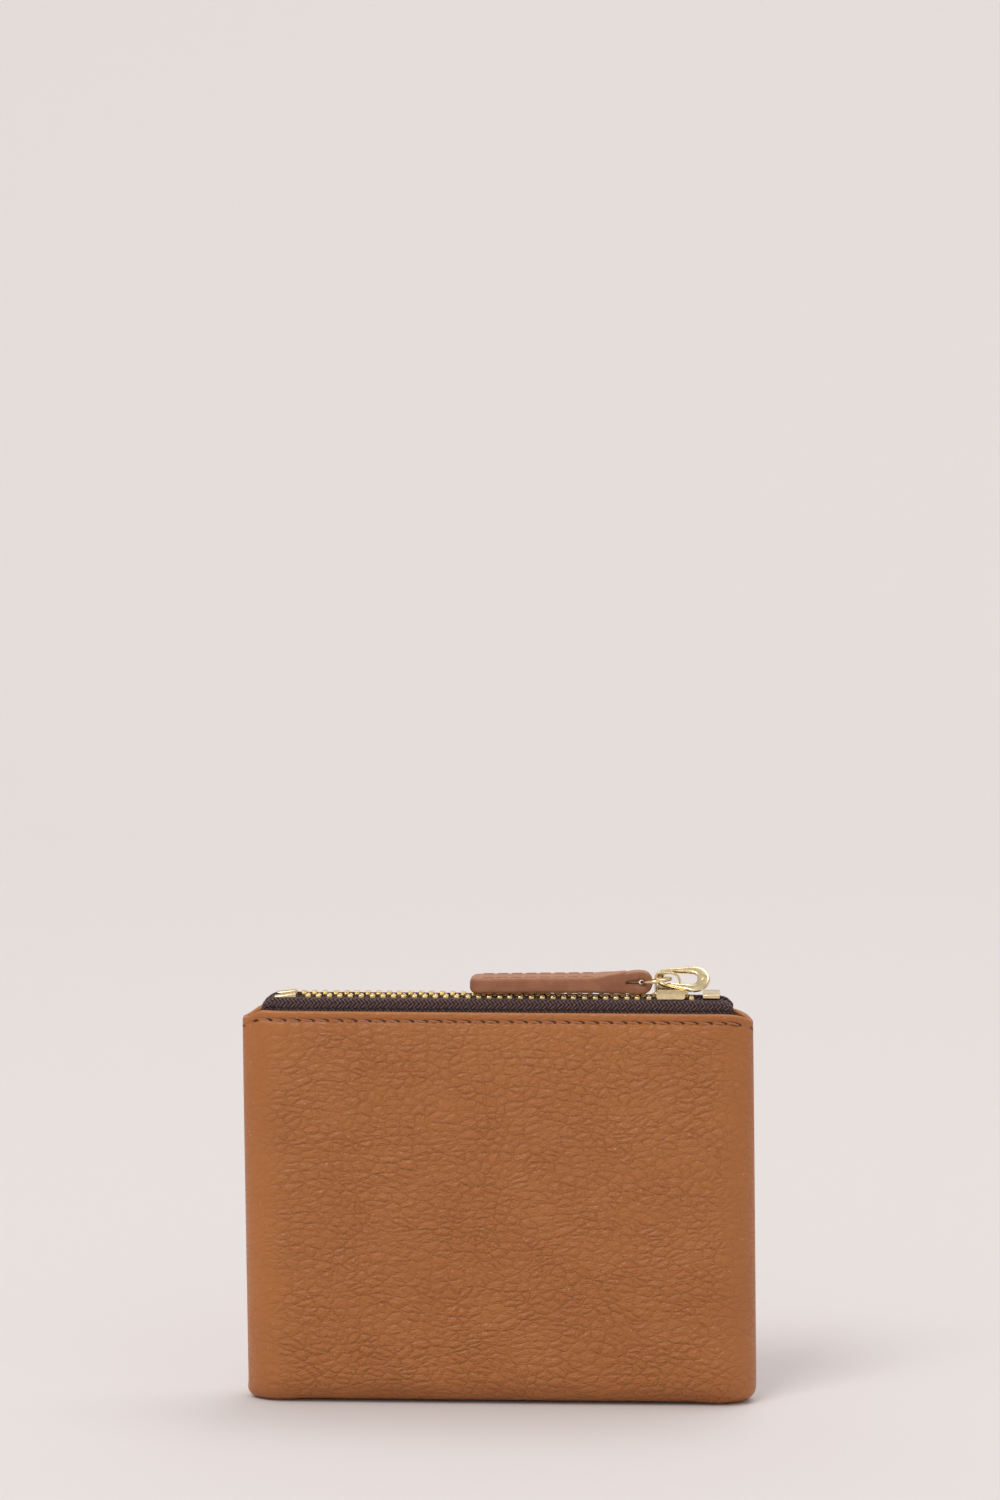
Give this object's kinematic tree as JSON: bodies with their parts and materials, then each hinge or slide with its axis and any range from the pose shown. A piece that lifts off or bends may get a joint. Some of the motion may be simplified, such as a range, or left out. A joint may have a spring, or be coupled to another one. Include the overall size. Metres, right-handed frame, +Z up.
{
  "type": "zippered leather pouch",
  "caption": "Small flat pouch of pebbled leather that stands on its folded bottom, with a metal zip along the top, an oval puller and a leather pull tab",
  "frame": {"origin": "Middle of the flat bottom that the pouch stands on", "axes": "+X runs along the zip towards its closed end, -Y is the front wall, +Z is up"},
  "size_m": [0.112, 0.0172, 0.0964],
  "materials": {
    "leather": "pebbled tan leather, satin",
    "tab_leather": "smooth painted leather edge, satin",
    "stiffener": "matt",
    "lining": "plain weave",
    "thread": "twisted thread",
    "zip_tape": "herringbone weave",
    "zip_metal": "polished",
    "gold_metal": "polished pale gold plating"
  },
  "bodies": {
    "root": {"rear_panel": "leather", "rear_stiffener": "stiffener", "rear_lining": "lining", "rear_top_stitching": "thread", "rear_zip_tape": "zip_tape", "rear_zip_teeth": "zip_metal", "rear_top_stop": "zip_metal", "bottom_stop": "zip_metal"},
    "front_half": {"front_panel": "leather", "front_stiffener": "stiffener", "front_lining": "lining", "front_top_stitching": "thread", "front_zip_tape": "zip_tape", "front_zip_teeth": "zip_metal", "front_top_stop": "zip_metal"},
    "slider": {"slider_body": "gold_metal"},
    "puller": {"oval_puller": "gold_metal"},
    "ring": {"jump_ring": "gold_metal"},
    "pull_tab": {"pull_tab_leather": "tab_leather", "pull_tab_core": "stiffener", "pull_tab_stitching": "thread"}
  },
  "joints": [
    {"name": "mouth_opening", "type": "hinge", "parent": "root", "child": "front_half", "pos_m": [0, -0.0036, 0], "axis": [1, 0, 0], "range_deg": [0, 12], "stiffness_Nm_per_rad": 0.02, "springref_deg": -5.73, "deforming": ["front_zip_tape", "front_zip_teeth"]},
    {"name": "slider_travel", "type": "slide", "parent": "root", "child": "slider", "axis": [1, 0, 0], "range_m": [-0.0779, 0.003]},
    {"name": "puller_swing", "type": "hinge", "parent": "slider", "child": "puller", "pos_m": [0.03495, 0, 0.0939], "axis": [-0.0523, -0.765, -0.6419], "range_deg": [0, 12]},
    {"name": "ring_swing", "type": "hinge", "parent": "slider", "child": "ring", "pos_m": [0.03732, 0, 0.09392], "axis": [0, 1, 0], "range_deg": [0, 55]},
    {"name": "tab_swing", "type": "hinge", "parent": "ring", "child": "pull_tab", "pos_m": [0.03098, 0, 0.09308], "axis": [0, 1, 0], "range_deg": [0, 75]}
  ]
}
